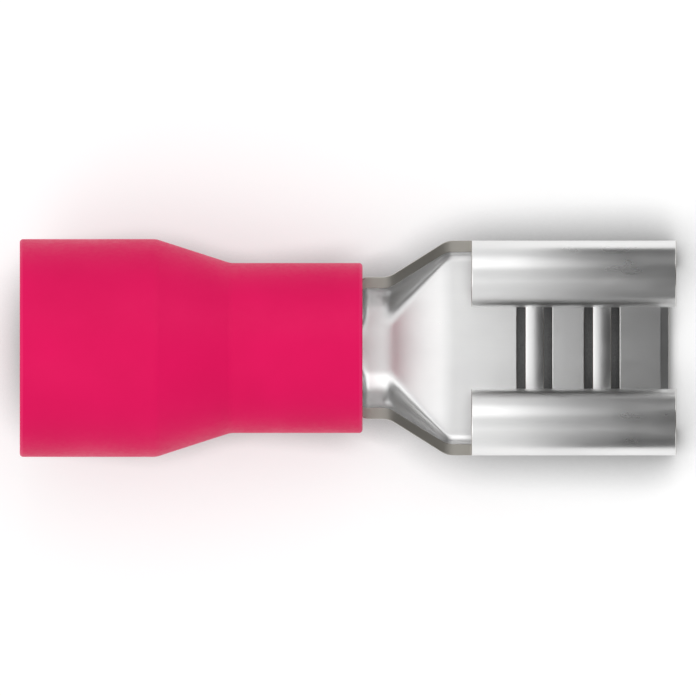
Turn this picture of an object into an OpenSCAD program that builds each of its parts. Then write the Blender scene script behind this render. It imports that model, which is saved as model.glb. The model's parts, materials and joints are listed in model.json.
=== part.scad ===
// Female spade terminal with an insulating sleeve, for a 6.3 x 0.8 mm tab. Millimetres.
//
// Everything is drawn along the barrel's axis: +X runs from the wire's entry at x = 0 to the tab's entry,
// and the rolled edges of the tab socket are up. Both nodes are then laid down together, as the terminal
// comes to rest on a flat surface: on the belly of its sleeve and the front edge of its tab socket.

/* [Brass strip] */
// Thickness of the strip that the terminal is stamped from
sheet_t = 0.4; // [0.3:0.05:0.5]
// Inside radius of the folds on both sides of the floor
fold_r = 0.35; // [0.2:0.05:0.6]

/* [Tab socket] */
// Width over the two rolled edges
socket_w = 7.4; // [6.8:0.1:8]
// Length of the rolled edges
roll_l = 7.05; // [6.4:0.05:8]
// Width of each rolled edge, seen from above
roll_w = 2.3; // [1.9:0.1:2.5]
// Angle that each edge is rolled past straight down
roll_past = 20; // [0:5:40]
// Length of the straight lip that presses on the tab
lip_l = 0.5; // [0.3:0.05:0.8]
// Clear height between the floor and the lips
tab_gap = 0.9; // [0.8:0.05:1.2]
// Distance that the floor's front edge stays behind the rolled edges
floor_setback = 0.24; // [0.04:0.04:0.48]
// Length of the tab's lead-in under the lips
lead_in_l = 0.8; // [0.4:0.1:1.5]
// Height that the lead-in takes off the lips
lead_in_h = 0.3; // [0.1:0.05:0.4]
// Depth of the bevel along the floor's front edge
floor_bevel = 0.14; // [0.05:0.01:0.2]

/* [Spring bridges] */
// Number of bridges across the floor
bridge_count = 2; // [1:1:2]
// Distance from one bridge to the next
bridge_pitch = 2.32; // [1.8:0.02:2.6]
// Distance from the floor's front edge to the middle of the front bridge
bridge_setback = 2.32; // [1.6:0.02:2.6]
// Width of a bridge, along the terminal
bridge_w = 0.64; // [0.4:0.02:0.9]
// Length of a bridge, across the floor
bridge_span = 4.6; // [4:0.1:5]
// Height of a bridge above the floor
bridge_rise = 0.22; // [0.1:0.02:0.3]
// Radius of the bridge's bends, at the middle of the strip
bridge_bend_r = 0.6; // [0.4:0.05:0.8]
// Radius that the bridge's back is coined to, along the terminal
bridge_crown_r = 1.6; // [0.6:0.1:3]
// Length of the flat foot at each end of a bridge
bridge_foot = 0.2; // [0.1:0.05:0.4]
// Width of the slits along both edges of a bridge
slit_w = 0.28; // [0.1:0.02:0.34]

/* [Neck] */
// Width over the neck
neck_w = 4.9; // [4.6:0.1:5]
// Length of the neck that shows in front of the sleeve
neck_l = 0.9; // [0.7:0.1:1.5]
// Inside radius of the neck's trough
neck_fold_r = 1.4; // [1:0.1:1.5]
// Height of the neck's side walls above the barrel's axis
neck_wall_h = 0.15; // [0:0.05:0.4]
// Length of the shoulders
shoulder_l = 2.0; // [1.6:0.1:3]
// Height that the floor steps up from the barrel's underside
floor_step = 0.3; // [0:0.05:0.5]
// Length of the full-width collar behind the rolled edges
collar_l = 0.85; // [0.5:0.05:1.5]
// Height of the collar's side walls above the floor's underside
collar_wall_h = 1.3; // [1.1:0.1:1.8]

/* [Crimp barrel] */
// Outside diameter of the barrel
barrel_d = 4.0; // [3.6:0.1:4.2]
// Gap of the butt seam along the barrel's top
seam_gap = 0.08; // [0.04:0.02:0.2]
// Depth of the bevel along the seam's outer edges
seam_bevel = 0.1; // [0.04:0.02:0.16]
// Number of serrations in the bore
serration_count = 3; // [1:1:4]
// Distance from one serration to the next
serration_pitch = 0.9; // [0.6:0.05:0.95]
// Width of a serration at the bore's surface
serration_w = 0.22; // [0.1:0.02:0.3]
// Depth of a serration
serration_depth = 0.1; // [0.05:0.01:0.15]

/* [Insulating sleeve] */
// Outside diameter at the wire's entry
flare_d = 7.5; // [6.9:0.1:8]
// Length of the wide, straight part
flare_l = 4.7; // [4:0.1:6]
// Length of the taper
taper_l = 2.55; // [2:0.05:3.5]
// Outside diameter over the barrel
grip_d = 5.85; // [5.65:0.05:6.2]
// Length of the straight part over the barrel
grip_l = 4.55; // [4:0.05:5.5]
// Wall thickness at the wire's entry
flare_wall = 0.8; // [0.6:0.05:1]
// Radius of the sleeve's rims
rim_r = 0.12; // [0.06:0.02:0.14]
// Radius of the blends at both ends of the taper
taper_blend_r = 0.8; // [0.2:0.1:1.5]
// Radial clearance between the sleeve and the barrel
barrel_fit = 0.01; // [0:0.01:0.03]
// Length of the stop inside the sleeve that the barrel sits against
stop_l = 0.3; // [0.2:0.05:0.5]
// Height that the stop reaches past the barrel's wall, to guide the strands in
stop_lip = 0.2; // [0.16:0.02:0.4]
// Length of the relief in the sleeve's front end, where the neck widens
relief_l = 0.6; // [0.4:0.05:0.8]
// Clearance between the neck's corners and the rim of that relief
relief_gap = 0.1; // [0.06:0.02:0.14]

/* [Hidden] */
$fn = 96;

fold_pieces = 10;      // facets in a quarter fold of the strip
roll_pieces = 28;      // facets in the roll of an edge
bridge_pieces = 5;     // facets in each bend of a bridge
corner_pieces = 5;     // facets in a rounded corner of the sleeve
trough_step = 0.15;    // distance between the sections of the trough
corner_soft = 0.2;     // length over which the trough's outline turns at its corners
weld = 0.03;           // how far the trough's root stays inside the barrel's wall, all round
root_l = 0.2;          // length of the trough's root inside the barrel's wall
root_flat = 0.05;      // half width of the flat at the bottom of that root
coin_cut = 0.01;       // how far a bridge's coined back lies under the top of the band
over = 1;              // how far a cut runs past what it cuts

// Stations along the terminal
barrel_x = flare_l + taper_l;
sleeve_l = barrel_x + grip_l;
barrel_end = sleeve_l - relief_l;
shoulder_x = sleeve_l + neck_l;
collar_x = shoulder_x + shoulder_l;
roll_x = collar_x + collar_l;
front_x = roll_x + roll_l;
floor_front = front_x - floor_setback;

// Sizes of the strip, measured at the middle of its thickness
barrel_r = barrel_d / 2;
bore_r = barrel_r - sheet_t;
barrel_mid_r = barrel_r - sheet_t / 2;
floor_z = floor_step - barrel_mid_r;
floor_top = floor_z + sheet_t / 2;
fold_mid_r = fold_r + sheet_t / 2;
neck_mid_r = neck_fold_r + sheet_t / 2;
floor_half = socket_w / 2 - sheet_t / 2 - fold_mid_r;
roll_mid_r = roll_w / 2 - sheet_t / 2;
roll_z = sheet_t / 2 + tab_gap + (roll_mid_r + sheet_t / 2) * sin(roll_past) + lip_l * cos(roll_past);
bridge_turn = acos(1 - bridge_rise / (2 * bridge_bend_r));
bridge_flat = bridge_span / 2 - bridge_foot - 2 * bridge_bend_r * sin(bridge_turn);
bridge_top = floor_top + bridge_rise - coin_cut;
bridge_xs = [for (i = [0 : bridge_count - 1]) floor_front - bridge_setback - i * bridge_pitch];

// Sizes of the sleeve
flare_r = flare_d / 2;
grip_r = grip_d / 2;
entry_r = flare_r - flare_wall;
seat_r = barrel_r + barrel_fit;
stop_r = bore_r - stop_lip;
neck_out_r = neck_fold_r + sheet_t;
neck_reach = norm([neck_w / 2 - neck_out_r, barrel_r - neck_out_r]) + neck_out_r;
relief_r = neck_reach + relief_gap;
relief_x = barrel_end - corner_soft;
front_rim_r = min(rim_r, 0.4 * (grip_r - relief_r));

// Pose at rest: the sleeve's belly and the socket's front edge touch the surface
socket_low = floor_z - sheet_t / 2;
socket_top = floor_z + roll_z + roll_w / 2;
rest_tilt = atan2(flare_r + socket_low, front_x - flare_l);
rest_low = -flare_r * cos(rest_tilt) - flare_l * sin(rest_tilt);
rest_back = rim_r * cos(rest_tilt) - (flare_r - rim_r) * sin(rest_tilt) - rim_r;
rest_front = front_x * cos(rest_tilt) + socket_top * sin(rest_tilt);

function ahead(a) = [cos(a), sin(a)];
function left_of(a) = [-sin(a), cos(a)];
function mix(a, b, share) = a + (b - a) * share;

// Rises from 0 at a to 1 at b, in a straight line whose two corners are rounded
function half_square(u) = u > 0 ? u * u / 2 : 0;
function ramp(x, a, b, soft = corner_soft) =
    (half_square(x + soft - a) - half_square(x - soft - a)
    - half_square(x + soft - b) + half_square(x - soft - b)) / (2 * soft * (b - a));

// Places along a folded strip, each as [point, heading]. A fold is [straight run, turn, radius, facets].
function folded(folds, p, a = 0, i = 0) =
    i == len(folds) ? [[p, a]] :
    let (
        run = folds[i][0],
        turn = folds[i][1],
        r = folds[i][2],
        n = folds[i][3],
        side = turn < 0 ? -1 : 1,
        centre = p + run * ahead(a) + side * r * left_of(a),
        headings = [for (k = [0 : 1 : n]) a + turn * k / max(n, 1)],
        bend = [for (h = headings) [centre - side * r * left_of(h), h]]
    )
    concat(
        run > 0 ? [[p, a]] : [],
        [for (k = [0 : 1 : n - 1]) bend[k]],
        folded(folds, bend[n][0], bend[n][1], i + 1)
    );

// The same strip on both sides of the middle, from its left edge to its right edge
function both_sides(half) = concat(
    [for (i = [len(half) - 1 : -1 : 1]) [[-half[i][0].x, half[i][0].y], -half[i][1]]],
    half
);

// The closed outline of a strip of thickness t: out along its under side, and back along its upper side
function thick(path, t) = concat(
    [for (s = path) s[0] - t / 2 * left_of(s[1])],
    [for (i = [len(path) - 1 : -1 : 0]) path[i][0] + t / 2 * left_of(path[i][1])]
);

// A solid through sections at the stations xs. Each section is an outline made by thick().
module loft(xs, sections) {
    n = len(sections[0]);
    m = n / 2;
    last = (len(xs) - 1) * n;
    points = [for (i = [0 : len(xs) - 1]) for (p = sections[i]) [xs[i], p.x, p.y]];
    sides = [
        for (i = [0 : len(xs) - 2])
            for (j = [0 : n - 1])
                let (a = i * n + j, b = i * n + (j + 1) % n)
                    each [[a, a + n, b + n], [a, b + n, b]]
    ];
    back = [for (j = [0 : m - 2]) [j, j + 1, n - 2 - j, n - 1 - j]];
    front = [for (f = back) [for (k = [3 : -1 : 0]) last + f[k]]];
    polyhedron(points, concat(sides, back, front));
}

// Carries a drawing of the YZ plane along +X
module along_x(from, length) {
    translate([from, 0, 0]) rotate([90, 0, 90]) linear_extrude(length) children();
}

// Carries a drawing of the XZ plane across the terminal, on both sides of the middle
module across(width) {
    rotate([90, 0, 0]) linear_extrude(width, center = true) children();
}

// Turns a drawing of [radius, x] round the barrel's axis
module about_x() {
    rotate([0, 90, 0]) rotate_extrude() children();
}

// The floor, the folds, the walls and the rolled edges of the socket, as one strip
function socket_half() = folded([
    [floor_half, 90, fold_mid_r, fold_pieces],
    [roll_z - fold_mid_r, 180 + roll_past, roll_mid_r, roll_pieces],
    [lip_l, 0, 0, 0]
], [0, floor_z]);

// A bridge, from the middle of its crown to the end of its foot
function bridge_half() = folded([
    [bridge_flat, -bridge_turn, bridge_bend_r, bridge_pieces],
    [0, bridge_turn, bridge_bend_r, bridge_pieces],
    [bridge_foot, 0, 0, 0]
], [0, floor_z + bridge_rise]);

// The trough's thickness at x, which is less where its root stays inside the barrel's wall
function trough_t(x) = sheet_t - 2 * weld * (1 - ramp(x, barrel_end, sleeve_l));

// The trough's section at x: from the barrel's lower half, through the neck, to the collar
function trough_half(x) =
    let (
        to_neck = ramp(x, barrel_end, sleeve_l),
        to_collar = ramp(x, shoulder_x, collar_x),
        neck_half_w = mix(barrel_mid_r, neck_w / 2 - sheet_t / 2, to_neck),
        half_w = mix(neck_half_w, socket_w / 2 - sheet_t / 2, to_collar),
        r = mix(mix(barrel_mid_r - root_flat, neck_mid_r, to_neck), fold_mid_r, to_collar),
        z = mix(-barrel_mid_r, floor_z, to_collar),
        wall_top = mix(neck_wall_h, socket_low + collar_wall_h, to_collar)
    )
    folded([[half_w - r, 90, r, fold_pieces], [wall_top - z - r, 0, 0, 0]], [0, z]);

module trough() {
    root_x = barrel_end - root_l;
    steps = ceil((roll_x - root_x) / trough_step);
    xs = [for (i = [0 : steps]) mix(root_x, roll_x, i / steps)];
    loft(xs, [for (x = xs) thick(both_sides(trough_half(x)), trough_t(x))]);
}

// A rounded corner at b, between the sides that come from a and go to c
function corner(a, b, c, r) =
    r == 0 ? [b] :
    let (
        back = (a - b) / norm(a - b),
        on = (c - b) / norm(c - b),
        half = acos(back * on) / 2,
        centre = b + (back + on) / norm(back + on) * r / sin(half),
        start = b + back * r / tan(half) - centre,
        end = b + on * r / tan(half) - centre,
        from = atan2(start.y, start.x),
        turn = (atan2(end.y, end.x) - from + 540) % 360 - 180
    )
    [for (k = [0 : corner_pieces]) centre + r * ahead(from + turn * k / corner_pieces)];

// An outline from corners that are each given as [point, radius]
function rounded(corners) = [
    for (i = [0 : len(corners) - 1])
        let (n = len(corners))
            each corner(corners[(i + n - 1) % n][0], corners[i][0], corners[(i + 1) % n][0], corners[i][1])
];

// One serration of the bore, as [radius, x] points that run back towards the wire's entry
function serration(k) =
    let (x = (barrel_x + barrel_end) / 2 + (k - (serration_count - 1) / 2) * serration_pitch)
    [
        [bore_r, x + serration_w / 2],
        [bore_r + serration_depth, x],
        [bore_r, x - serration_w / 2]
    ];

// The barrel, rolled up until its edges butt along the top
module barrel() {
    difference() {
        about_x() polygon([
            [bore_r, barrel_x],
            [barrel_r, barrel_x],
            [barrel_r, barrel_end],
            [bore_r, barrel_end],
            for (k = [serration_count - 1 : -1 : 0]) each serration(k)
        ]);
        along_x(barrel_x - over, barrel_end - barrel_x + 2 * over) seam();
    }
}

// The seam's section: a gap with both outer edges bevelled
module seam() {
    half = seam_gap / 2;
    top = barrel_r + over;
    polygon([
        [half, 0],
        [half, barrel_r - seam_bevel],
        [half + seam_bevel + over, top],
        [-half - seam_bevel - over, top],
        [-half, barrel_r - seam_bevel],
        [-half, 0]
    ]);
}

// The socket: floor, walls and rolled edges, with the lead-ins at its front and the bridges in its floor
module socket() {
    difference() {
        along_x(roll_x, roll_l) polygon(thick(both_sides(socket_half()), sheet_t));
        across(2 * floor_half - sheet_t) floor_edge();
        across(2 * floor_half) lip_lead_in();
        for (x = bridge_xs) bridge_slot(x);
    }
    for (x = bridge_xs) bridge(x);
}

// A bridge at x: a bent band between two slits, with its back coined round
module bridge(x) {
    intersection() {
        along_x(x - bridge_w / 2, bridge_w) polygon(thick(both_sides(bridge_half()), sheet_t));
        across(bridge_span + over) {
            translate([x, bridge_top - bridge_crown_r]) circle(bridge_crown_r);
            translate([x - bridge_w, floor_z - sheet_t]) square([2 * bridge_w, sheet_t]);
        }
    }
}

// What is cut off the floor's front edge, to set it back and bevel it for the tab
module floor_edge() {
    polygon([
        [floor_front, socket_low - over],
        [floor_front, floor_top - floor_bevel],
        [floor_front - 2 * floor_bevel, floor_top],
        [floor_front - 2 * floor_bevel, floor_top + floor_bevel],
        [front_x + over, floor_top + floor_bevel],
        [front_x + over, socket_low - over]
    ]);
}

// What is cut off the lips' front ends, so that the tab finds its way under them
module lip_lead_in() {
    lip_z = floor_top + tab_gap;
    polygon([
        [front_x - lead_in_l, lip_z],
        [front_x + lead_in_l, lip_z + 2 * lead_in_h],
        [front_x + lead_in_l, lip_z - tab_gap / 2],
        [front_x - lead_in_l, lip_z - tab_gap / 2]
    ]);
}

// The hole in the floor that a bridge at x stands in, with a slit along both of its edges
module bridge_slot(x) {
    slot_w = bridge_w + 2 * slit_w;
    translate([x - slot_w / 2, -bridge_span / 2, floor_z - sheet_t]) cube([slot_w, bridge_span, 2 * sheet_t]);
}

// Lays what is drawn along the barrel's axis down on the surface, with the origin under its middle
module at_rest() {
    translate([-(rest_back + rest_front) / 2, 0, -rest_low]) rotate([0, rest_tilt, 0]) children();
}

module metal_terminal() {
    color("silver") at_rest() {
        barrel();
        trough();
        socket();
    }
}

// The sleeve: a wide mouth, a funnel down to a stop, and a close fit over the barrel
module insulating_sleeve() {
    color([0.89, 0, 0.36]) at_rest() about_x() polygon(rounded([
        [[entry_r, 0], rim_r],
        [[flare_r, 0], rim_r],
        [[flare_r, flare_l], taper_blend_r],
        [[grip_r, barrel_x], taper_blend_r],
        [[grip_r, sleeve_l], front_rim_r],
        [[relief_r, sleeve_l], front_rim_r],
        [[seat_r, relief_x], 0],
        [[seat_r, barrel_x], 0],
        [[stop_r, barrel_x], 0],
        [[stop_r, barrel_x - stop_l], 0],
        [[entry_r, flare_l], taper_blend_r]
    ]));
}

insulating_sleeve();
metal_terminal();
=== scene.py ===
"""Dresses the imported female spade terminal: its stamped, tin-plated metal and its moulded vinyl sleeve.

Both pieces are drawn in millimetres along the terminal's own axes, where +X runs along the crimp barrel from
the wire's end to the tab's end and the rolled edges of the socket are up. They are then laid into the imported
frame, in metres, by the place and slope of the frame's own mounts.
"""

import json
import logging
import math
from collections.abc import Iterator, Sequence
from dataclasses import dataclass, field
from enum import Enum

import bmesh
import bpy
from mathutils import Matrix, Vector


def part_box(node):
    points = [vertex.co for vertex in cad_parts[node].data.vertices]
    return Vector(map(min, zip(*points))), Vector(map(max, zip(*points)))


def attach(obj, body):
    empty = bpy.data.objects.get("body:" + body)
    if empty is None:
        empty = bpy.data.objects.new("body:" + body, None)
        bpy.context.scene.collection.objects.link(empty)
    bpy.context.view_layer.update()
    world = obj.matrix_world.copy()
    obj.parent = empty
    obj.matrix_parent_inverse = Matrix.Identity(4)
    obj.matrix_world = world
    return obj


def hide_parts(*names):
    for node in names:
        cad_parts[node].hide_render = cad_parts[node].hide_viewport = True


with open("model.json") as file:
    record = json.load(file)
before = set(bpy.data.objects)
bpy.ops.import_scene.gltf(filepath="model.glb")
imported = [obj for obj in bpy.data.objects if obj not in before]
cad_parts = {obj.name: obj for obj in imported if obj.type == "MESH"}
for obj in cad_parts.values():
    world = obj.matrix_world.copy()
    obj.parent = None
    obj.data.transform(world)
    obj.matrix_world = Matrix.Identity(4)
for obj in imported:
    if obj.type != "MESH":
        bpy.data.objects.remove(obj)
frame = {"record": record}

LOG = logging.getLogger("spade_terminal")
MM = 0.001
BODY = "root"
SLACK = 1e-6  # a difference that is only rounding
WHOLE = (0.0, 1.0)
MIX_A, MIX_B, MIX_RESULT = 6, 7, 2  # the colour sockets of a Mix node

Colour = tuple[float, float, float]


class Node(Enum):
    """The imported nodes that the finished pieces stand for."""

    SLEEVE = "insulating_sleeve"
    TERMINAL = "metal_terminal"


class Slot(Enum):
    """The record's material slots."""

    VINYL = "sleeve"
    TIN = "tin_plate"


class Mark(Enum):
    """The marks that a mesh carries for its finish."""

    SHEARED = "sheared"
    WORN = "worn"


class Side(Enum):
    """The two sides of the strip: the inner one faces the wire and the tab."""

    INNER = 1
    OUTER = -1


def mix(a: float, b: float, share: float) -> float:
    """Return the value that lies share of the way from a to b."""
    return a + (b - a) * share


def half_square(u: float) -> float:
    """Return half the square of u, or zero below zero."""
    return u * u / 2 if u > 0 else 0.0


def ramp(x: float, a: float, b: float, soft: float) -> float:
    """Rise from 0 at a to 1 at b in a straight line with two rounded corners.

    Args:
        x: Where the ramp is read.
        a: Where it starts.
        b: Where it ends.
        soft: Half the length of each rounded corner.

    Returns:
        The height of the ramp at x.
    """
    rise = half_square(x + soft - a) - half_square(x - soft - a)
    fall = half_square(x + soft - b) - half_square(x - soft - b)
    return (rise - fall) / (2 * soft * (b - a))


def evenly(start: float, end: float, pitch: float) -> list[float]:
    """Divide a length into equal steps.

    Args:
        start: The first value.
        end: The last value.
        pitch: The longest step allowed.

    Returns:
        The values from start to end, both included.
    """
    steps = max(1, math.ceil(abs(end - start) / pitch - SLACK))
    return [mix(start, end, k / steps) for k in range(steps + 1)]


def through(marks: Sequence[float], pitch: float) -> list[float]:
    """Divide the lengths between marks evenly, so that a value falls on each mark.

    Args:
        marks: Rising values that must be kept.
        pitch: The longest step allowed.

    Returns:
        The values from the first mark to the last.
    """
    values = [marks[0]]
    for a, b in zip(marks, marks[1:]):
        values += evenly(a, b, pitch)[1:]
    return values


def stand(name: str, data: bpy.types.ID) -> bpy.types.Object:
    """Put a new object into the scene.

    Args:
        name: The object's name.
        data: Its mesh, lamp or camera.

    Returns:
        The object.
    """
    obj = bpy.data.objects.new(name, data)
    bpy.context.scene.collection.objects.link(obj)
    return obj


def maths(
    tree: bpy.types.NodeTree, operation: str, *values: bpy.types.NodeSocket | float
) -> bpy.types.NodeSocket:
    """Work out one sum of two values in a node tree.

    Args:
        tree: The node tree.
        operation: The kind of sum.
        *values: The two values, each a socket or a number.

    Returns:
        The result.
    """
    node = tree.nodes.new("ShaderNodeMath")
    node.operation = operation
    for value, socket in zip(values, node.inputs):
        if isinstance(value, bpy.types.NodeSocket):
            tree.links.new(value, socket)
        else:
            socket.default_value = value
    return node.outputs[0]


@dataclass(frozen=True)
class PartFrame:
    """Where the terminal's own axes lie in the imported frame."""

    matrix: Matrix
    tilt: float
    entry_r: float
    bore_r: float
    front_x: float
    mouth_z: float

    @classmethod
    def from_record(cls, record: dict, entry_station: float) -> "PartFrame":
        """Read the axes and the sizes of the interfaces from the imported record.

        Args:
            record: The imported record.
            entry_station: How far inside the sleeve's rim the wire's entry is stated, in millimetres.

        Returns:
            The part's frame.
        """
        mounts = {mount["name"]: mount for mount in record["mounts"]}
        entry, socket = mounts["wire_entry"], mounts["tab_socket"]
        along = -Vector(entry["axis"]).normalized()
        across = Vector((0, 1, 0))
        up = along.cross(across)
        origin = Vector(entry["pos_m"]) - along * entry_station * MM
        matrix = Matrix((along, across, up)).transposed().to_4x4()
        matrix.translation = origin
        mouth = Vector(socket["pos_m"]) - origin
        return cls(
            matrix=matrix,
            tilt=math.atan2(-along.z, along.x),
            entry_r=entry["dims"]["r_mm"],
            bore_r=mounts["crimp_barrel"]["dims"]["r_mm"],
            front_x=mouth.dot(along) / MM,
            mouth_z=mouth.dot(up) / MM,
        )

    def place(self, mesh: bpy.types.Mesh) -> None:
        """Lay a mesh in millimetres along the part's axes into the frame, in metres."""
        mesh.transform(self.matrix @ Matrix.Scale(MM, 4))

    def point(self, x: float, y: float, z: float) -> Vector:
        """Return the place in the frame of a point on the part, in millimetres."""
        return self.matrix @ (Vector((x, y, z)) * MM)


# --- Finishes -------------------------------------------------------------------------------------


class ShaderBench:
    """Adds and links the nodes of one material."""

    def __init__(self, name: str, tilt: float) -> None:
        """Start a material whose patterns lie along the terminal.

        Args:
            name: The material's name.
            tilt: The slope of the terminal's axis, in radians.
        """
        self.material = bpy.data.materials.new(name)
        self.material.use_nodes = True
        self.tree = self.material.node_tree
        self.surface = self.tree.nodes["Principled BSDF"]
        coordinates = self.tree.nodes.new("ShaderNodeTexCoord")
        self.along = self.tree.nodes.new("ShaderNodeMapping")
        self.along.inputs["Rotation"].default_value = (0, -tilt, 0)
        self.tree.links.new(coordinates.outputs["Object"], self.along.inputs["Vector"])

    def add(self, kind: str, **settings: object) -> bpy.types.Node:
        """Add a node.

        Args:
            kind: The node's type.
            **settings: Properties of the node.

        Returns:
            The new node.
        """
        node = self.tree.nodes.new(kind)
        for name, value in settings.items():
            setattr(node, name, value)
        return node

    def link(self, source: bpy.types.NodeSocket, node: bpy.types.Node, socket: str | int) -> None:
        """Link an output to a node's input."""
        self.tree.links.new(source, node.inputs[socket])

    def noise(self, grain_mm: float, stretch: float = 1.0, detail: float = 3.0) -> bpy.types.NodeSocket:
        """Make a noise whose grain can be drawn out along the terminal.

        Args:
            grain_mm: The size of its grain, across the terminal.
            stretch: How many times longer the grain is along the terminal.
            detail: How many finer layers it has.

        Returns:
            The noise, from 0 to 1.
        """
        scaled = self.add("ShaderNodeMapping")
        scaled.inputs["Scale"].default_value = (1 / stretch, 1, 1)
        noise = self.add("ShaderNodeTexNoise")
        noise.inputs["Scale"].default_value = 1 / (grain_mm * MM)
        noise.inputs["Detail"].default_value = detail
        self.link(self.along.outputs["Vector"], scaled, "Vector")
        self.link(scaled.outputs["Vector"], noise, "Vector")
        return noise.outputs["Fac"]

    def mark(self, mark: Mark) -> bpy.types.NodeSocket:
        """Return how strongly the mesh carries a mark, from 0 to 1."""
        return self.add("ShaderNodeAttribute", attribute_name=mark.value).outputs["Fac"]

    def spread(
        self, source: bpy.types.NodeSocket, low: float, high: float, at: tuple[float, float] = (0.3, 0.7)
    ) -> bpy.types.NodeSocket:
        """Map a value onto a range.

        Args:
            source: The value.
            low: The result at the first of the two source values.
            high: The result at the second.
            at: The two source values.

        Returns:
            The mapped value.
        """
        node = self.add("ShaderNodeMapRange")
        self.link(source, node, "Value")
        for name, value in (("From Min", at[0]), ("From Max", at[1]), ("To Min", low), ("To Max", high)):
            node.inputs[name].default_value = value
        return node.outputs["Result"]

    def blend(
        self, share: bpy.types.NodeSocket, a: Colour | bpy.types.NodeSocket, b: Colour | bpy.types.NodeSocket
    ) -> bpy.types.NodeSocket:
        """Mix two colours, each a colour or a socket.

        Args:
            share: How much of the second colour shows.
            a: The first colour.
            b: The second colour.

        Returns:
            The mixed colour.
        """
        node = self.add("ShaderNodeMix", data_type="RGBA")
        self.link(share, node, 0)
        for value, socket in ((a, node.inputs[MIX_A]), (b, node.inputs[MIX_B])):
            if isinstance(value, bpy.types.NodeSocket):
                self.tree.links.new(value, socket)
            else:
                socket.default_value = (*value, 1)
        return node.outputs[MIX_RESULT]

    def total(self, a: bpy.types.NodeSocket, b: bpy.types.NodeSocket) -> bpy.types.NodeSocket:
        """Return two values added together."""
        return maths(self.tree, "ADD", a, b)

    def relief(self, height: bpy.types.NodeSocket, depth_mm: float, strength: float) -> None:
        """Raise the surface's fine relief.

        Args:
            height: The relief, from 0 to 1.
            depth_mm: The depth between 0 and 1.
            strength: How much of it shows.
        """
        bump = self.add("ShaderNodeBump")
        bump.inputs["Distance"].default_value = depth_mm * MM
        bump.inputs["Strength"].default_value = strength
        self.link(height, bump, "Height")
        self.link(bump.outputs["Normal"], self.surface, "Normal")


@dataclass(frozen=True)
class TinPlate:
    """Tin-plated brass strip, with its rolling grain and its sheared edges."""

    bright: Colour = (0.86, 0.86, 0.855)
    dull: Colour = (0.77, 0.77, 0.77)
    sheared: Colour = (0.36, 0.345, 0.315)
    worn: Colour = (0.9, 0.895, 0.88)
    roughness: tuple[float, float] = (0.27, 0.325)
    roughness_at: tuple[float, float] = (0.7, 1.3)
    sheared_roughness: float = 0.12
    cloud_mm: float = 2.6
    cloud_stretch: float = 1.6
    grain_mm: float = 0.045
    grain_stretch: float = 24.0
    grain_share: float = 0.16
    satin_mm: float = 0.5
    satin_stretch: float = 3.0
    fine_layers: float = 2.0
    worn_share: float = 0.6
    relief_mm: float = 0.0012
    relief_strength: float = 0.4

    def material(self, tilt: float) -> bpy.types.Material:
        """Build the material.

        Args:
            tilt: The slope of the terminal's axis, in radians.

        Returns:
            The material.
        """
        bench = ShaderBench("tin_plated_brass", tilt)
        clouds = bench.noise(self.cloud_mm, self.cloud_stretch)
        grain = bench.noise(self.grain_mm, self.grain_stretch, self.fine_layers)
        satin = bench.noise(self.satin_mm, self.satin_stretch, self.fine_layers)
        worn = bench.spread(bench.mark(Mark.WORN), 0, self.worn_share, WHOLE)
        sheared = bench.mark(Mark.SHEARED)
        colour = bench.blend(bench.spread(clouds, 0, 1), self.bright, self.dull)
        colour = bench.blend(bench.spread(grain, 0, self.grain_share), colour, self.dull)
        colour = bench.blend(worn, colour, self.worn)
        colour = bench.blend(sheared, colour, self.sheared)
        bench.link(colour, bench.surface, "Base Color")
        bench.surface.inputs["Metallic"].default_value = 1.0
        rolled = bench.spread(bench.total(clouds, satin), *self.roughness, self.roughness_at)
        torn = bench.spread(sheared, 0, self.sheared_roughness, WHOLE)
        bench.link(bench.total(rolled, torn), bench.surface, "Roughness")
        bench.relief(grain, self.relief_mm, self.relief_strength)
        return bench.material


@dataclass(frozen=True)
class Vinyl:
    """Soft, satin vinyl, coloured all through."""

    colour: Colour = (0.765, 0.0, 0.103)
    deep: Colour = (0.69, 0.0, 0.088)
    rubbed: Colour = (0.80, 0.02, 0.14)
    roughness: tuple[float, float] = (0.4, 0.52)
    roughness_at: tuple[float, float] = (0.8, 1.2)
    cloud_mm: float = 2.4
    deep_share: float = 0.55
    skin_mm: float = 0.16
    skin_layers: float = 4.0
    rubbed_share: float = 0.6
    ior: float = 1.53
    gloss: float = 0.14
    relief_mm: float = 0.004
    relief_strength: float = 0.35

    def material(self, tilt: float) -> bpy.types.Material:
        """Build the material.

        Args:
            tilt: The slope of the terminal's axis, in radians.

        Returns:
            The material.
        """
        bench = ShaderBench("crimson_vinyl", tilt)
        clouds = bench.noise(self.cloud_mm)
        skin = bench.noise(self.skin_mm, detail=self.skin_layers)
        rubbed = bench.spread(bench.mark(Mark.WORN), 0, self.rubbed_share, WHOLE)
        colour = bench.blend(bench.spread(clouds, 0, self.deep_share), self.colour, self.deep)
        colour = bench.blend(rubbed, colour, self.rubbed)
        bench.link(colour, bench.surface, "Base Color")
        bench.surface.inputs["IOR"].default_value = self.ior
        bench.surface.inputs["Specular IOR Level"].default_value = self.gloss
        satin = bench.spread(bench.total(clouds, skin), *self.roughness, self.roughness_at)
        bench.link(satin, bench.surface, "Roughness")
        bench.relief(skin, self.relief_mm, self.relief_strength)
        return bench.material


# --- Geometry Nodes -------------------------------------------------------------------------------


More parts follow.
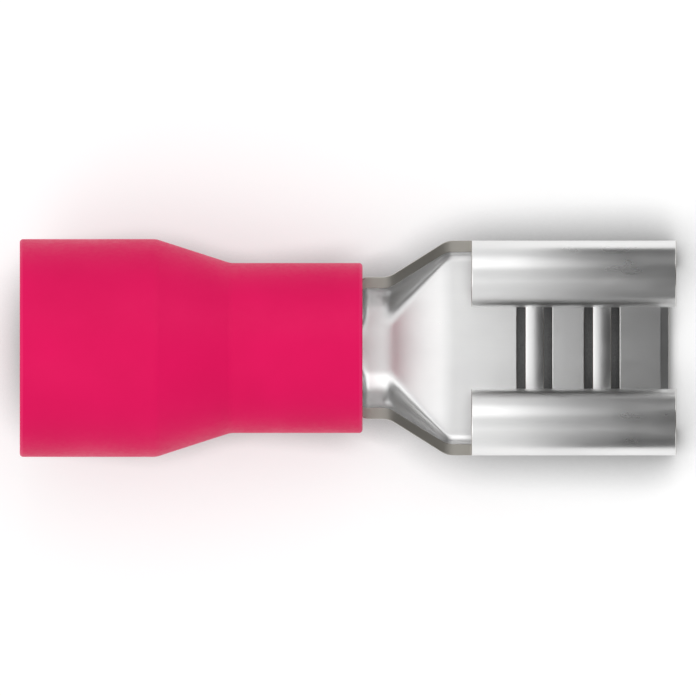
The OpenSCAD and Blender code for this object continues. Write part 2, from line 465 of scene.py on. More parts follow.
class NodeForge:
    """Builds a Geometry Nodes tree with named inputs, and runs it on one mesh."""

    def __init__(self, name: str) -> None:
        """Start a tree that takes and gives geometry.

        Args:
            name: The tree's name.
        """
        self.tree = bpy.data.node_groups.new(name, "GeometryNodeTree")
        self.tree.interface.new_socket("Geometry", in_out="INPUT", socket_type="NodeSocketGeometry")
        self.tree.interface.new_socket("Geometry", in_out="OUTPUT", socket_type="NodeSocketGeometry")
        self.inputs = self.tree.nodes.new("NodeGroupInput")
        self.output = self.tree.nodes.new("NodeGroupOutput")
        self.identifiers: dict[str, str] = {}

    def size(self, name: str, kind: str) -> None:
        """Add a named input.

        Args:
            name: The input's name.
            kind: The type of its socket.
        """
        socket = self.tree.interface.new_socket(name, in_out="INPUT", socket_type=kind)
        self.identifiers[name] = socket.identifier

    def add(
        self, kind: str, links: dict[str, bpy.types.NodeSocket] | None = None, **settings: object
    ) -> bpy.types.Node:
        """Add a node and link its inputs.

        Args:
            kind: The node's type.
            links: The output that feeds each named input.
            **settings: Properties of the node.

        Returns:
            The new node.
        """
        node = self.tree.nodes.new(kind)
        for name, value in settings.items():
            setattr(node, name, value)
        for name, source in (links or {}).items():
            self.tree.links.new(source, node.inputs[name])
        return node

    def finish(self, geometry: bpy.types.NodeSocket) -> None:
        """End the tree with real geometry that has its material.

        Args:
            geometry: The output that holds the shape.
        """
        self.size("Material", "NodeSocketMaterial")
        real = self.add("GeometryNodeRealizeInstances", {"Geometry": geometry})
        coated = self.add("GeometryNodeSetMaterial", {
            "Geometry": real.outputs["Geometry"], "Material": self.inputs.outputs["Material"],
        })
        self.tree.links.new(coated.outputs["Geometry"], self.output.inputs["Geometry"])

    def run(self, seed: bpy.types.Mesh, values: dict[str, object]) -> bpy.types.Mesh:
        """Run the tree on a mesh.

        Args:
            seed: The mesh that goes in.
            values: The value of each named input.

        Returns:
            The plain mesh that comes out.
        """
        carrier = stand(self.tree.name, seed)
        modifier = carrier.modifiers.new(self.tree.name, "NODES")
        modifier.node_group = self.tree
        for name, value in values.items():
            modifier[self.identifiers[name]] = value
        return bake_modifiers(carrier)


def bake_modifiers(carrier: bpy.types.Object) -> bpy.types.Mesh:
    """Turn an object with modifiers into a plain mesh, and remove the object.

    Args:
        carrier: The object, in the scene.

    Returns:
        The evaluated mesh.
    """
    bpy.context.view_layer.update()
    depsgraph = bpy.context.evaluated_depsgraph_get()
    mesh = bpy.data.meshes.new_from_object(carrier.evaluated_get(depsgraph), depsgraph=depsgraph)
    bpy.data.objects.remove(carrier)
    return mesh


def mark_worn(mesh: bpy.types.Mesh, least: float, full: float) -> None:
    """Mark the outward corners of a mesh, which rub bright.

    Args:
        mesh: The mesh.
        least: The bend between two faces from which a corner is marked, in radians.
        full: The bend at which it is marked fully.
    """
    shell = bmesh.new()
    shell.from_mesh(mesh)
    worn = [0.0] * len(shell.verts)
    for edge in shell.edges:
        share = min(max(0.0, (edge.calc_face_angle_signed(0.0) - least) / (full - least)), 1.0)
        for vert in edge.verts:
            worn[vert.index] = max(worn[vert.index], share)
    shell.free()
    mesh.attributes.new(Mark.WORN.value, "FLOAT", "POINT").data.foreach_set("value", worn)


def lathe_tree() -> NodeForge:
    """Make the tree that turns a closed profile round an axis.

    Returns:
        The tree. Its profile is drawn with its axis at the distance Turning radius to the left.
    """
    forge = NodeForge("lathe")
    forge.size("Turning radius", "NodeSocketFloat")
    forge.size("Facets", "NodeSocketInt")
    rail = forge.add("GeometryNodeCurvePrimitiveCircle", {
        "Radius": forge.inputs.outputs["Turning radius"], "Resolution": forge.inputs.outputs["Facets"],
    })
    profile = forge.add("GeometryNodeMeshToCurve", {"Mesh": forge.inputs.outputs["Geometry"]})
    turned = forge.add("GeometryNodeCurveToMesh", {
        "Curve": rail.outputs["Curve"], "Profile Curve": profile.outputs["Curve"],
    })
    forge.finish(turned.outputs["Mesh"])
    return forge


def row_tree() -> NodeForge:
    """Make the tree that sets copies of a piece in a row, one pitch apart.

    Returns:
        The tree.
    """
    forge = NodeForge("row")
    forge.size("Count", "NodeSocketInt")
    forge.size("First", "NodeSocketVector")
    forge.size("Pitch", "NodeSocketVector")
    line = forge.add("GeometryNodeMeshLine", {
        "Count": forge.inputs.outputs["Count"],
        "Start Location": forge.inputs.outputs["First"],
        "Offset": forge.inputs.outputs["Pitch"],
    }, mode="OFFSET")
    copies = forge.add("GeometryNodeInstanceOnPoints", {
        "Points": line.outputs["Mesh"], "Instance": forge.inputs.outputs["Geometry"],
    })
    forge.finish(copies.outputs["Instances"])
    return forge


# --- The insulating sleeve ------------------------------------------------------------------------


def rounded(corners: Sequence[tuple[float, float, float]], pieces: int) -> list[tuple[float, float]]:
    """Round the corners of a closed outline.

    Args:
        corners: Each corner's two coordinates and its radius.
        pieces: How many facets a rounded corner gets.

    Returns:
        The points of the outline.
    """
    points: list[tuple[float, float]] = []
    for k, (x, y, radius) in enumerate(corners):
        b = Vector((x, y))
        if radius == 0:
            points.append((x, y))
            continue
        back = (Vector(corners[k - 1][:2]) - b).normalized()
        on = (Vector(corners[(k + 1) % len(corners)][:2]) - b).normalized()
        half = back.angle(on) / 2
        centre = b + (back + on).normalized() * radius / math.sin(half)
        start = b + back * radius / math.tan(half) - centre
        end = b + on * radius / math.tan(half) - centre
        turn = math.atan2(start.x * end.y - start.y * end.x, start.dot(end))
        for step in range(pieces + 1):
            a = math.atan2(start.y, start.x) + turn * step / pieces
            points.append((centre.x + radius * math.cos(a), centre.y + radius * math.sin(a)))
    return points


@dataclass
class InsulatingSleeve:
    """The vinyl moulding: a wide mouth, a funnel down to a stop, and a close fit over the barrel."""

    part: PartFrame
    flare_r: float
    flare_l: float = 4.7
    taper_l: float = 2.55
    grip_r: float = 2.925
    grip_l: float = 4.55
    rim_r: float = 0.12
    blend_r: float = 0.8
    seat_r: float = 2.01
    stop_r: float = 1.4
    stop_l: float = 0.3
    relief_r: float = 2.58
    relief_l: float = 0.8
    facets: int = 192
    corner_pieces: int = 8
    sharp_over: float = math.radians(30)
    worn_from: float = math.radians(6)
    worn_fully: float = math.radians(11)

    @property
    def barrel_x(self) -> float:
        """Where the barrel starts, against the stop."""
        return self.flare_l + self.taper_l

    @property
    def length(self) -> float:
        """The sleeve's length along the barrel's axis."""
        return self.barrel_x + self.grip_l

    def profile(self) -> list[tuple[float, float]]:
        """Draw the section of the wall.

        Returns:
            Points as (place along the axis, radius).
        """
        return rounded([
            (0, self.part.entry_r, self.rim_r),
            (0, self.flare_r, self.rim_r),
            (self.flare_l, self.flare_r, self.blend_r),
            (self.barrel_x, self.grip_r, self.blend_r),
            (self.length, self.grip_r, self.rim_r),
            (self.length, self.relief_r, self.rim_r),
            (self.length - self.relief_l, self.seat_r, 0),
            (self.barrel_x, self.seat_r, 0),
            (self.barrel_x, self.stop_r, 0),
            (self.barrel_x - self.stop_l, self.stop_r, 0),
            (self.flare_l, self.part.entry_r, self.blend_r),
        ], self.corner_pieces)

    def build(self, lathe: NodeForge, material: bpy.types.Material) -> bpy.types.Mesh:
        """Turn the section round the barrel's axis.

        Args:
            lathe: The tree that turns it.
            material: The sleeve's material.

        Returns:
            The sleeve's mesh, in millimetres.
        """
        profile = self.profile()
        seed = bpy.data.meshes.new("sleeve_section")
        edges = [(k, (k + 1) % len(profile)) for k in range(len(profile))]
        seed.from_pydata([(r - self.flare_r, x, 0) for x, r in profile], edges, [])
        mesh = lathe.run(seed, {"Turning radius": self.flare_r, "Facets": self.facets, "Material": material})
        mesh.transform(Matrix.Rotation(-math.pi / 2, 4, "Y"))
        mesh.shade_smooth()
        mesh.set_sharp_from_angle(angle=self.sharp_over)
        mark_worn(mesh, self.worn_from, self.worn_fully)
        return mesh

    def dress(self, finish: Vinyl, lathe: NodeForge) -> bpy.types.Object:
        """Args:
            finish: The vinyl's finish.
            lathe: The tree that turns its section.

        Returns:
            The piece.
        """
        mesh = self.build(lathe, finish.material(self.part.tilt))
        return settle(mesh, self.part, Node.SLEEVE)


# --- The metal terminal ---------------------------------------------------------------------------


@dataclass(frozen=True)
class Bend:
    """A straight run of the strip, and the bend that follows it. A bend to the left is positive."""

    run: float
    turn: float
    radius: float

    @property
    def length(self) -> float:
        """The length of the run and of the bend."""
        return self.run + abs(self.turn) * self.radius


@dataclass(frozen=True)
class Spot:
    """A place on the middle of the strip's thickness, and the strip's heading there."""

    y: float
    z: float
    heading: float

    def raised(self, height: float) -> tuple[float, float]:
        """Return the point at a height over the strip's middle, on its inner side."""
        return self.y - height * math.sin(self.heading), self.z + height * math.cos(self.heading)

    def mirrored(self) -> "Spot":
        """Return the same place on the other half of the strip."""
        return Spot(-self.y, self.z, -self.heading)

    def towards(self, other: "Spot", share: float) -> "Spot":
        """Find a place between this one and another.

        Args:
            other: The other place.
            share: How far to go towards it, from 0 to 1.

        Returns:
            The place between.
        """
        return Spot(
            mix(self.y, other.y, share), mix(self.z, other.z, share), mix(self.heading, other.heading, share)
        )


@dataclass(frozen=True)
class StripPath:
    """Half of a folded section, from the terminal's middle to the strip's free edge."""

    z: float
    bends: tuple[Bend, ...]

    @property
    def length(self) -> float:
        """The length of the path."""
        return sum(bend.length for bend in self.bends)

    def at(self, distance: float) -> Spot:
        """Follow the path.

        Args:
            distance: How far to go from the middle.

        Returns:
            The place reached.
        """
        spot = Spot(0.0, self.z, 0.0)
        for bend in self.bends:
            run = min(distance, bend.run)
            y = spot.y + run * math.cos(spot.heading)
            z = spot.z + run * math.sin(spot.heading)
            distance -= run
            side = math.copysign(bend.radius, bend.turn)
            turned = min(distance / bend.radius, abs(bend.turn)) if bend.radius else 0.0
            heading = spot.heading + math.copysign(turned, bend.turn)
            distance -= turned * bend.radius
            y += side * (math.sin(heading) - math.sin(spot.heading))
            z -= side * (math.cos(heading) - math.cos(spot.heading))
            spot = Spot(y, z, heading)
        return spot


@dataclass
class StripMesh:
    """A strip of sheet metal as a grid: a face on each side of every cell, and a rim round every edge."""

    points: dict[tuple[int, int, Side], tuple[float, float, float]] = field(default_factory=dict)
    cells: set[tuple[int, int]] = field(default_factory=set)
    joined: set[tuple[int, int, int, int]] = field(default_factory=set)

    def put(self, i: int, j: int, x: float, spot: Spot, inner: float, outer: float) -> None:
        """Set both sides of the strip at a grid point.

        Args:
            i: The station's number.
            j: The column's number.
            x: The place along the terminal.
            spot: The place on the middle of the strip.
            inner: The height of the inner side over the middle.
            outer: The depth of the outer side under the middle.
        """
        self.points[i, j, Side.INNER] = (x, *spot.raised(inner))
        self.points[i, j, Side.OUTER] = (x, *spot.raised(-outer))

    def rims(self) -> Iterator[tuple[tuple[int, int], tuple[int, int]]]:
        """Find the strip's free edges.

        Returns:
            The two grid points of each, one edge after another.
        """
        for i, j in self.cells:
            for di, dj, a, b in (
                (-1, 0, (i, j), (i, j + 1)), (1, 0, (i + 1, j + 1), (i + 1, j)),
                (0, -1, (i + 1, j), (i, j)), (0, 1, (i, j + 1), (i + 1, j + 1)),
            ):
                held = (i + di, j + dj) in self.cells or (*a, *b) in self.joined or (*b, *a) in self.joined
                if not held:
                    yield a, b

    def into(self, shell: bmesh.types.BMesh) -> None:
        """Add the strip's faces to a shell, and mark the ones that a shear has cut.

        Args:
            shell: The shell, whose faces have a layer named sheared.
        """
        sheared = shell.faces.layers.float[Mark.SHEARED.value]
        verts = {key: shell.verts.new(point) for key, point in self.points.items()}
        for i, j in self.cells:
            ring = ((i, j), (i + 1, j), (i + 1, j + 1), (i, j + 1))
            shell.faces.new([verts[*key, Side.INNER] for key in ring])
            shell.faces.new([verts[*key, Side.OUTER] for key in reversed(ring)])
        for a, b in self.rims():
            face = shell.faces.new(
                [verts[*a, Side.INNER], verts[*b, Side.INNER], verts[*b, Side.OUTER], verts[*a, Side.OUTER]]
            )
            face[sheared] = 1.0


@dataclass
class SpringBridge:
    """A band that is lanced out of the floor, bent up, and coined round along its back."""

    width: float = 0.64
    span: float = 4.6
    rise: float = 0.22
    bend_r: float = 0.6
    foot: float = 0.2
    crown_r: float = 1.6
    coin: float = 0.01
    slit: float = 0.28
    pieces: int = 8

    @property
    def turn(self) -> float:
        """The angle of the band's slopes."""
        return math.acos(1 - self.rise / (2 * self.bend_r))

    def lines(self) -> list[float]:
        """Return the places of the grid's lines across the band."""
        return [mix(-self.width / 2, self.width / 2, k / self.pieces) for k in range(self.pieces + 1)]

    def mesh(self, floor_z: float, sheet: float, pitch: float) -> bpy.types.Mesh:
        """Build one band round x = 0, open at both feet where the floor goes on.

        Args:
            floor_z: The height of the middle of the floor.
            sheet: The strip's thickness.
            pitch: The longest step of its grid.

        Returns:
            The band's mesh.
        """
        flat = self.span / 2 - self.foot - 2 * self.bend_r * math.sin(self.turn)
        path = StripPath(floor_z + self.rise, (
            Bend(flat, -self.turn, self.bend_r), Bend(0, self.turn, self.bend_r), Bend(self.foot, 0, 0),
        ))
        crown = floor_z + self.rise + sheet / 2 - self.coin
        strip = StripMesh()
        distances = evenly(0, path.length, pitch)
        last = len(distances) - 1
        for i, u in enumerate(self.lines()):
            back = crown - self.crown_r + math.sqrt(self.crown_r**2 - u**2)
            for j in range(-last, last + 1):
                spot = path.at(distances[abs(j)])
                spot = spot if j >= 0 else spot.mirrored()
                inner = min(sheet / 2, (back - spot.z) / math.cos(spot.heading))
                strip.put(i, j, u, spot, inner, sheet / 2)
        strip.cells = {(i, j) for i in range(self.pieces) for j in range(-last, last)}
        strip.joined = {(i + 1, j, i, j) for i in range(self.pieces) for j in (-last, last)}
        return shell_mesh("bridge", [strip])


def shell_mesh(
    name: str, strips: Sequence[StripMesh], others: Sequence[bpy.types.Mesh] = ()
) -> bpy.types.Mesh:
    """Join strips and meshes into one shell.

    Args:
        name: The new mesh's name.
        strips: The strips.
        others: Meshes that meet them point to point.

    Returns:
        The welded mesh.
    """
    weld = 1e-4
    shell = bmesh.new()
    shell.faces.layers.float.new(Mark.SHEARED.value)
    for other in others:
        shell.from_mesh(other)
    for strip in strips:
        strip.into(shell)
    bmesh.ops.remove_doubles(shell, verts=shell.verts, dist=weld)
    bmesh.ops.recalc_face_normals(shell, faces=shell.faces)
    mesh = bpy.data.meshes.new(name)
    shell.to_mesh(mesh)
    shell.free()
    return mesh


@dataclass
class MetalTerminal:
    """The stamping: a crimp barrel, a neck that opens out of it, and the tab socket."""

    part: PartFrame
    barrel_x: float
    sleeve_end: float
    sheet: float = 0.4
    # crimp barrel
    barrel_l: float = 3.95
    seam_gap: float = 0.08
    serrations: int = 3
    serration_pitch: float = 0.9
    serration_w: float = 0.22
    serration_depth: float = 0.1
    # neck, shoulders and collar
    neck_w: float = 4.9
    neck_l: float = 0.9
    neck_fold_r: float = 1.4
    neck_wall_z: float = 0.15
    shoulder_l: float = 2.0
    collar_l: float = 0.85
    collar_wall: float = 1.3
    corner_soft: float = 0.2
    # tab socket
    socket_w: float = 7.4
    fold_r: float = 0.35
    roll_w: float = 2.3
    roll_past: float = math.radians(20)
    lip_l: float = 0.5
    tab_gap: float = 0.9
    setback: float = 0.24
    floor_bevel: float = 0.14
    lead_in_l: float = 0.8
    lead_in_h: float = 0.3
    bridges: int = 2
    bridge_pitch: float = 2.32
    bridge_setback: float = 2.32
    bridge: SpringBridge = field(default_factory=SpringBridge)
    # grid, across the strip and along each stretch
    grid: float = 0.12
    roll_grid: float = 0.072
    barrel_grid: float = 0.3
    trough_grid: float = 0.096
    socket_grid: float = 0.2
    # broken edges
    edge_round: float = 0.04
    edge_pieces: int = 3
    edge_over: float = math.radians(20)
    worn_from: float = math.radians(14)
    worn_fully: float = math.radians(22)

    def __post_init__(self) -> None:
        """Work out the stations, the heights and the columns that the sizes lead to."""
        self.half = self.sheet / 2
        self.barrel_end = self.barrel_x + self.barrel_l
        self.shoulder_x = self.sleeve_end + self.neck_l
        self.collar_x = self.shoulder_x + self.shoulder_l
        self.roll_x = self.collar_x + self.collar_l
        self.front_x = self.part.front_x
        self.floor_front = self.front_x - self.setback
        self.barrel_mid_r = self.part.bore_r + self.half
        self.floor_z = self.part.mouth_z - self.tab_gap / 2 - self.half
        self.floor_half = self.socket_w / 2 - self.half - self.fold_r - self.half
        self.cut_half = self.floor_half - self.half
        self.fold_mid_r = self.fold_r + self.half
        self.roll_mid_r = self.roll_w / 2 - self.half
        roll_drop = (self.roll_mid_r + self.half) * math.sin(self.roll_past)
        reach = roll_drop + self.lip_l * math.cos(self.roll_past)
        self.roll_z = self.half + self.tab_gap + reach
        middle = (self.barrel_x + self.barrel_end) / 2
        self.groove_xs = [
            middle + (k - (self.serrations - 1) / 2) * self.serration_pitch for k in range(self.serrations)
        ]
        self.bridge_xs = [
            self.floor_front - self.bridge_setback - k * self.bridge_pitch for k in range(self.bridges)
        ]
        self.columns = self.socket_columns()
        quarter = self.barrel_mid_r * math.pi / 2
        self.ring_shared = quarter + self.neck_wall_z
        seam = 2 * quarter - self.seam_gap / 2
        self.ring_rest = evenly(self.ring_shared, seam, self.grid)[1:]

    def socket_path(self, x: float) -> StripPath:
        """Fold the socket's section: floor, fold, wall, rolled edge and lip.

        Args:
            x: The station. The lip is shorter where the tab's lead-in is.

        Returns:
            The section's path.
        """
        lead = max(0.0, x - (self.front_x - self.lead_in_l)) / self.lead_in_l * self.lead_in_h
        return StripPath(self.floor_z, (
            Bend(self.floor_half, math.pi / 2, self.fold_mid_r),
            Bend(self.roll_z - self.fold_mid_r, math.pi + self.roll_past, self.roll_mid_r),
            Bend(self.lip_l - lead / math.cos(self.roll_past), 0, 0),
        ))

    def trough_path(self, x: float) -> StripPath:
        """Fold the trough's section between the barrel and the socket.

        Args:
            x: The station.

        Returns:
            The section's path.
        """
        to_neck = ramp(x, self.barrel_end, self.sleeve_end, self.corner_soft)
        to_collar = ramp(x, self.shoulder_x, self.collar_x, self.corner_soft)
        half_w = mix(self.barrel_mid_r, self.neck_w / 2 - self.half, to_neck)
        half_w = mix(half_w, self.socket_w / 2 - self.half, to_collar)
        radius = mix(self.barrel_mid_r, self.neck_fold_r + self.half, to_neck)
        radius = mix(radius, self.fold_mid_r, to_collar)
        z = mix(-self.barrel_mid_r, self.floor_z, to_collar)
        top = mix(self.neck_wall_z, self.floor_z - self.half + self.collar_wall, to_collar)
        return StripPath(z, (Bend(half_w - radius, math.pi / 2, radius), Bend(top - z - radius, 0, 0)))

    def socket_columns(self) -> list[float]:
        """Set the socket's columns so that one falls on each feature of its section.

        Returns:
            Their distances from the middle of the strip.
        """
        path = self.socket_path(self.roll_x)
        fold_end = path.bends[0].length
        collar_top = fold_end + self.collar_wall - self.half - self.fold_mid_r
        roll_start = fold_end + path.bends[1].run
        roll_end = fold_end + path.bends[1].length
        shared = through(
            [0, self.bridge.span / 2, self.cut_half, self.floor_half, fold_end, collar_top], self.grid
        )
        self.shared_count = len(shared) - 1
        wall = evenly(collar_top, roll_start, self.grid)
        roll = evenly(roll_start, roll_end, self.roll_grid)
        lip = evenly(roll_end, path.length, self.grid)
        return shared + wall[1:] + roll[1:] + lip[1:]

    def socket_spot(self, x: float, column: int) -> Spot:
        """Find a socket column at a station.

        Args:
            x: The station.
            column: The column's number.

        Returns:
            The column's place.
        """
        path = self.socket_path(x)
        full = self.socket_path(self.roll_x)
        roll_end = full.bends[0].length + full.bends[1].length
        distance = self.columns[column]
        if distance > roll_end:
            distance = mix(roll_end, path.length, (distance - roll_end) / (full.length - roll_end))
        return path.at(distance)

    def ring_spot(self, distance: float) -> Spot:
        """Return the place at a distance round the barrel from its underside."""
        angle = distance / self.barrel_mid_r
        return Spot(self.barrel_mid_r * math.sin(angle), -self.barrel_mid_r * math.cos(angle), angle)

    def trough_spot(self, x: float, column: int) -> Spot:
        """Find a trough column, which leaves the barrel's ring and ends on the socket's section.

        Args:
            x: The station.
            column: The column's number.

        Returns:
            The column's place.
        """
        even = column / self.shared_count
        path = self.trough_path(x)
        settled = ramp(x, self.sleeve_end, self.collar_x, self.corner_soft)
        share = mix(even, self.columns[column] / self.columns[self.shared_count], settled)
        ring = self.ring_spot(even * self.ring_shared)
        opened = ramp(x, self.barrel_end, self.sleeve_end, self.corner_soft)
        return ring.towards(path.at(share * path.length), opened)

    def stations(self) -> tuple[list[float], list[float], list[float]]:
        """Set the grid's stations along the terminal.

        Returns:
            The stations of the barrel, the trough and the socket.
        """
        groove_half = self.serration_w / 2
        grooves = [x + u for x in self.groove_xs for u in (-groove_half, 0, groove_half)]
        barrel = through([self.barrel_x, *grooves, self.barrel_end], self.barrel_grid)
        trough = through([self.barrel_end, self.sleeve_end, self.collar_x, self.roll_x], self.trough_grid)
        marks = [self.roll_x]
        for x in sorted(self.bridge_xs):
            edge = self.bridge.width / 2 + self.bridge.slit
            marks += [x - edge, *(x + u for u in self.bridge.lines()), x + edge]
        marks += [self.floor_front - 2 * self.floor_bevel, self.floor_front, self.front_x]
        return barrel, trough, through(marks, self.socket_grid)

    def groove(self, x: float) -> float:
        """Return how deep a serration is at a station of the barrel."""
        offset = min(abs(x - groove_x) for groove_x in self.groove_xs)
        return max(0.0, 1 - offset / (self.serration_w / 2)) * self.serration_depth

    def front_bevel(self, x: float) -> float:
        """Return how much the bevel along the floor's front edge takes off at a station."""
        return min(max(0.0, (x - self.floor_front) / 2 + self.floor_bevel), self.floor_bevel)

    def blank(self) -> StripMesh:
        """Lay out the whole strip, without its bridges.

        Returns:
            The strip.
        """
        strip = StripMesh()
        barrel, trough, socket = self.stations()
        shared, last = self.shared_count, len(self.columns) - 1
        for i, x in enumerate(barrel):
            for j in range(shared + len(self.ring_rest) + 1):
                far = j - shared
                distance = self.ring_rest[far - 1] if far > 0 else j / shared * self.ring_shared
                self.both(strip, i, j, x, self.ring_spot(distance), self.half - self.groove(x))
            if i:
                self.fill(strip, i - 1, shared + len(self.ring_rest))
        start = len(barrel) - 1
        for i, x in enumerate(trough[1:-1], start + 1):
            for j in range(shared + 1):
                self.both(strip, i, j, x, self.trough_spot(x, j), self.half)
            self.fill(strip, i - 1, shared)
        start += len(trough) - 1
        self.fill(strip, start - 1, shared)
        for i, x in enumerate(socket, start):
            for j in range(last + 1):
                inner = self.half - (self.front_bevel(x) if self.columns[j] < self.cut_half - SLACK else 0)
                self.both(strip, i, j, x, self.socket_spot(x, j), inner)
            if i > start:
                self.fill(strip, i - 1, last)
        self.cut_holes(strip, socket, start)
        return strip

    def both(self, strip: StripMesh, i: int, j: int, x: float, spot: Spot, inner: float) -> None:
        """Set a grid point and its twin on the other half of the strip.

        Args:
            strip: The strip.
            i: The station's number.
            j: The column's number.
            x: The place along the terminal.
            spot: The place on the middle of the strip.
            inner: The height of the inner side over the middle.
        """
        strip.put(i, j, x, spot, inner, self.half)
        if j:
            strip.put(i, -j, x, spot.mirrored(), inner, self.half)

    def fill(self, strip: StripMesh, i: int, last: int) -> None:
        """Fill the cells after a station, out to a column on both sides."""
        strip.cells |= {(i, j) for j in range(-last, last)}

    def cut_holes(self, strip: StripMesh, socket: list[float], start: int) -> None:
        """Cut the bridges' slots and set back the floor's front edge.

        Args:
            strip: The strip.
            socket: The socket's stations.
            start: The number of the first of them.
        """
        slot = self.columns.index(self.bridge.span / 2)
        front = next(k for k, d in enumerate(self.columns) if abs(d - self.cut_half) < SLACK)
        for k, (a, b) in enumerate(zip(socket, socket[1:])):
            middle = (a + b) / 2
            off = min(abs(middle - x) for x in self.bridge_xs)
            if off < self.bridge.width / 2 + self.bridge.slit:
                strip.cells -= {(start + k, j) for j in range(-slot, slot)}
                if off < self.bridge.width / 2:
                    strip.joined |= {(start + k, j, start + k + 1, j) for j in (-slot, slot)}
            if middle > self.floor_front:
                strip.cells -= {(start + k, j) for j in range(-front, front)}

    def build(self, row: NodeForge, material: bpy.types.Material) -> bpy.types.Mesh:
        """Weld the strip and its bridges, and break the edges.

        Args:
            row: The tree that sets the bridges in a row.
            material: The metal's material.

        Returns:
            The terminal's mesh, in millimetres.
        """
        bridges = row.run(self.bridge.mesh(self.floor_z, self.sheet, self.grid), {
            "Count": self.bridges,
            "First": (self.bridge_xs[0], 0, 0),
            "Pitch": (-self.bridge_pitch, 0, 0),
            "Material": material,
        })
        mesh = shell_mesh("terminal", [self.blank()], [bridges])
        mesh.materials.clear()
        mesh.materials.append(material)
        mesh.shade_smooth()
        carrier = stand("terminal", mesh)
        bevel = carrier.modifiers.new("broken_edges", "BEVEL")
        bevel.width = self.edge_round
        bevel.segments = self.edge_pieces
        bevel.limit_method = "ANGLE"
        bevel.angle_limit = self.edge_over
        bevel.harden_normals = True
        mesh = bake_modifiers(carrier)
        mark_worn(mesh, self.worn_from, self.worn_fully)
        return mesh

    def dress(self, finish: TinPlate, row: NodeForge) -> bpy.types.Object:
        """Args:
            finish: The metal's finish.
            row: The tree that sets the bridges in a row.

        Returns:
            The piece.
        """
        mesh = self.build(row, finish.material(self.part.tilt))
        return settle(mesh, self.part, Node.TERMINAL)


def settle(mesh: bpy.types.Mesh, part: PartFrame, node: Node) -> bpy.types.Object:
    """Lay a finished mesh into the frame and declare what it is.

    Args:
        mesh: The mesh, in millimetres.
        part: The part's frame.
        node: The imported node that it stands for.

    Returns:
        The piece.
    """
    part.place(mesh)
    mesh.name = f"{node.value}_finished"
    piece = stand(mesh.name, mesh)
    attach(piece, BODY)
    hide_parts(node.value)
    LOG.info("%s: %d faces, stands for %s", piece.name, len(mesh.polygons), node.value)
    return piece


# --- Studio ---------------------------------------------------------------------------------------


def matt(name: str) -> tuple[bpy.types.Material, bpy.types.Node]:
    """Start a material without gloss, which can glow white.

    Args:
        name: The material's name.

    Returns:
        The material and its surface.
    """
    material = bpy.data.materials.new(name)
    material.use_nodes = True
    surface = material.node_tree.nodes["Principled BSDF"]
    surface.inputs["Specular IOR Level"].default_value = 0.0
    surface.inputs["Emission Color"].default_value = (1, 1, 1, 1)
    return material, surface


def background_rays(tree: bpy.types.NodeTree) -> bpy.types.NodeSocket:
    """Tell the rays that see the background from those that carry its light.

    Args:
        tree: The node tree to add to.

    Returns:
        1 for a ray from the camera or from a glossy or clear surface, else 0.
    """
    path = tree.nodes.new("ShaderNodeLightPath")
    total = path.outputs["Is Camera Ray"]
    for name in ("Is Glossy Ray", "Is Transmission Ray"):
        total = maths(tree, "MAXIMUM", total, path.outputs[name])
    return total


@dataclass(frozen=True)
class Lamp:
    """A soft square lamp that faces the terminal."""

    name: str
    place: tuple[float, float, float]
    side: float
    power: float


@dataclass(frozen=True)
class DarkCard:
    """A dark card, bent like a tunnel over the tab's end, that only reflections see."""

    name: str
    start: float
    end: float
    reach: float
    radius: float = 20.0
    shade: float = 0.03
    facets: int = 48

    def build(self, part: PartFrame) -> bpy.types.Object:
        """Stand the card round the terminal's axis.

        Args:
            part: The part's frame.

        Returns:
            The card.
        """
        angles = [mix(-self.reach, self.reach, k / self.facets) for k in range(self.facets + 1)]
        points = [
            (x, self.radius * math.sin(a), self.radius * math.cos(a))
            for a in angles for x in (self.start, self.end)
        ]
        faces = [(2 * k, 2 * k + 1, 2 * k + 3, 2 * k + 2) for k in range(self.facets)]
        mesh = bpy.data.meshes.new(self.name)
        mesh.from_pydata(points, [], faces)
        part.place(mesh)
        material, surface = matt(self.name)
        surface.inputs["Base Color"].default_value = (0, 0, 0, 1)
        surface.inputs["Emission Strength"].default_value = self.shade
        mesh.materials.append(material)
        card = stand(self.name, mesh)
        card.visible_camera = card.visible_diffuse = card.visible_shadow = False
        return card


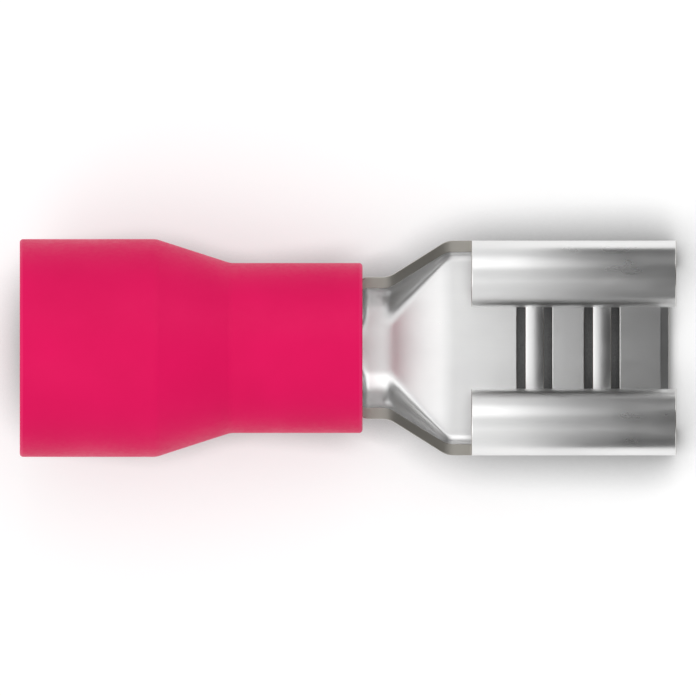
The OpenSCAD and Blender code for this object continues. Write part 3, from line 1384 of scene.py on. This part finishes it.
@dataclass
class Studio:
    """The camera, the floor, the white surroundings, the lamps and the dark cards."""

    part: PartFrame
    view_w: float = 23.956
    middle_x: float = 11.3
    camera_away: float = 0.25
    camera_sees: tuple[float, float] = (0.01, 2.0)
    ambient: float = 0.77
    floor_side: float = 1.2
    floor_pale: float = 0.62
    floor_lift: float = 0.44
    shadow_reach: float = 0.002
    shadow_shut: float = 0.2
    shadow_clear: float = 0.92
    shadow_dimmest: float = 0.05
    cards: tuple[DarkCard, ...] = (
        DarkCard("dark_hood", 18.3, 25.5, math.radians(96)),
        DarkCard("dark_roof", 25.5, 120.0, math.radians(38)),
    )
    lamps: tuple[Lamp, ...] = (
        Lamp("key", (-0.30, -0.22, 0.50), 0.5, 0.95),
        Lamp("fill", (0.20, 0.36, 0.46), 0.5, 0.6),
    )

    def camera(self) -> None:
        """Look straight down on the terminal's own axes, without perspective."""
        data = bpy.data.cameras.new("camera")
        data.type = "ORTHO"
        data.ortho_scale = self.view_w * MM
        data.clip_start, data.clip_end = self.camera_sees
        camera = stand("camera", data)
        up = self.part.matrix.to_3x3().col[2]
        camera.matrix_world = self.part.matrix
        camera.location = self.part.point(self.middle_x, 0, 0) + up * self.camera_away
        bpy.context.scene.camera = camera

    def world(self) -> None:
        """Surround the scene with white, which lights it softly."""
        world = bpy.data.worlds.new("surroundings")
        world.use_nodes = True
        bpy.context.scene.world = world
        tree = world.node_tree
        shade = tree.nodes.new("ShaderNodeMix")
        shade.data_type = "RGBA"
        shade.inputs[MIX_A].default_value = (self.ambient, self.ambient, self.ambient, 1)
        shade.inputs[MIX_B].default_value = (1, 1, 1, 1)
        tree.links.new(background_rays(tree), shade.inputs[0])
        tree.links.new(shade.outputs[MIX_RESULT], tree.nodes["Background"].inputs["Color"])

    def floor(self) -> None:
        """Lay a plain, pale floor that keeps the terminal's shadow, with painted shade that darkens its colour
        and glow close under it.
        """
        half = self.floor_side / 2
        square = [(-half, -half, 0), (half, -half, 0), (half, half, 0), (-half, half, 0)]
        mesh = bpy.data.meshes.new("floor")
        mesh.from_pydata(square, [], [(0, 1, 2, 3)])
        floor = stand("floor", mesh)
        material, surface = matt("pale_floor")
        surface.inputs["Roughness"].default_value = 1.0
        tree = material.node_tree
        # Painted shade: the ambient occlusion near the terminal darkens the floor's colour and its white glow.
        nearby = tree.nodes.new("ShaderNodeAmbientOcclusion")
        nearby.inputs["Distance"].default_value = self.shadow_reach
        opening = tree.nodes.new("ShaderNodeMapRange")
        opening.inputs["From Min"].default_value = self.shadow_shut
        opening.inputs["From Max"].default_value = self.shadow_clear
        opening.inputs["To Min"].default_value = self.shadow_dimmest
        tree.links.new(nearby.outputs["AO"], opening.inputs["Value"])
        openness = opening.outputs["Result"]
        tree.links.new(maths(tree, "MULTIPLY", openness, self.floor_pale), surface.inputs["Base Color"])
        strength = maths(tree, "MULTIPLY", background_rays(tree), self.floor_lift)
        strength = maths(tree, "MULTIPLY", strength, openness)
        tree.links.new(strength, surface.inputs["Emission Strength"])
        mesh.materials.append(material)

    def light(self) -> None:
        """Hang the lamps and turn them to the terminal."""
        for lamp in self.lamps:
            data = bpy.data.lights.new(lamp.name, "AREA")
            data.shape = "SQUARE"
            data.size = lamp.side
            data.energy = lamp.power
            obj = stand(lamp.name, data)
            obj.location = lamp.place
            obj.rotation_euler = Vector(lamp.place).to_track_quat("Z", "Y").to_euler()
            obj.visible_camera = False

    def build(self) -> None:
        """Set up the whole studio."""
        self.camera()
        self.world()
        self.floor()
        self.light()
        for card in self.cards:
            card.build(self.part)
        bpy.context.scene.view_settings.view_transform = "Standard"


def corners(box: tuple[Vector, Vector]) -> list[list[float]]:
    """Return a box's two corners as plain numbers."""
    return [[float(value) for value in corner] for corner in box]


def main() -> None:
    """Build the terminal's pieces in order, then the studio."""
    logging.basicConfig(level=logging.INFO, format="%(name)s: %(message)s")
    entry_station = 2.3
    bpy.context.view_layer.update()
    part = PartFrame.from_record(frame["record"], entry_station)
    low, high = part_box(Node.SLEEVE.value)
    sleeve = InsulatingSleeve(part, flare_r=(high[1] - low[1]) / 2 / MM)
    terminal = MetalTerminal(part, barrel_x=sleeve.barrel_x, sleeve_end=sleeve.length)
    sleeve.dress(Vinyl(), lathe_tree())
    terminal.dress(TinPlate(), row_tree())
    Studio(part).build()


if __name__ == "__main__":
    main()
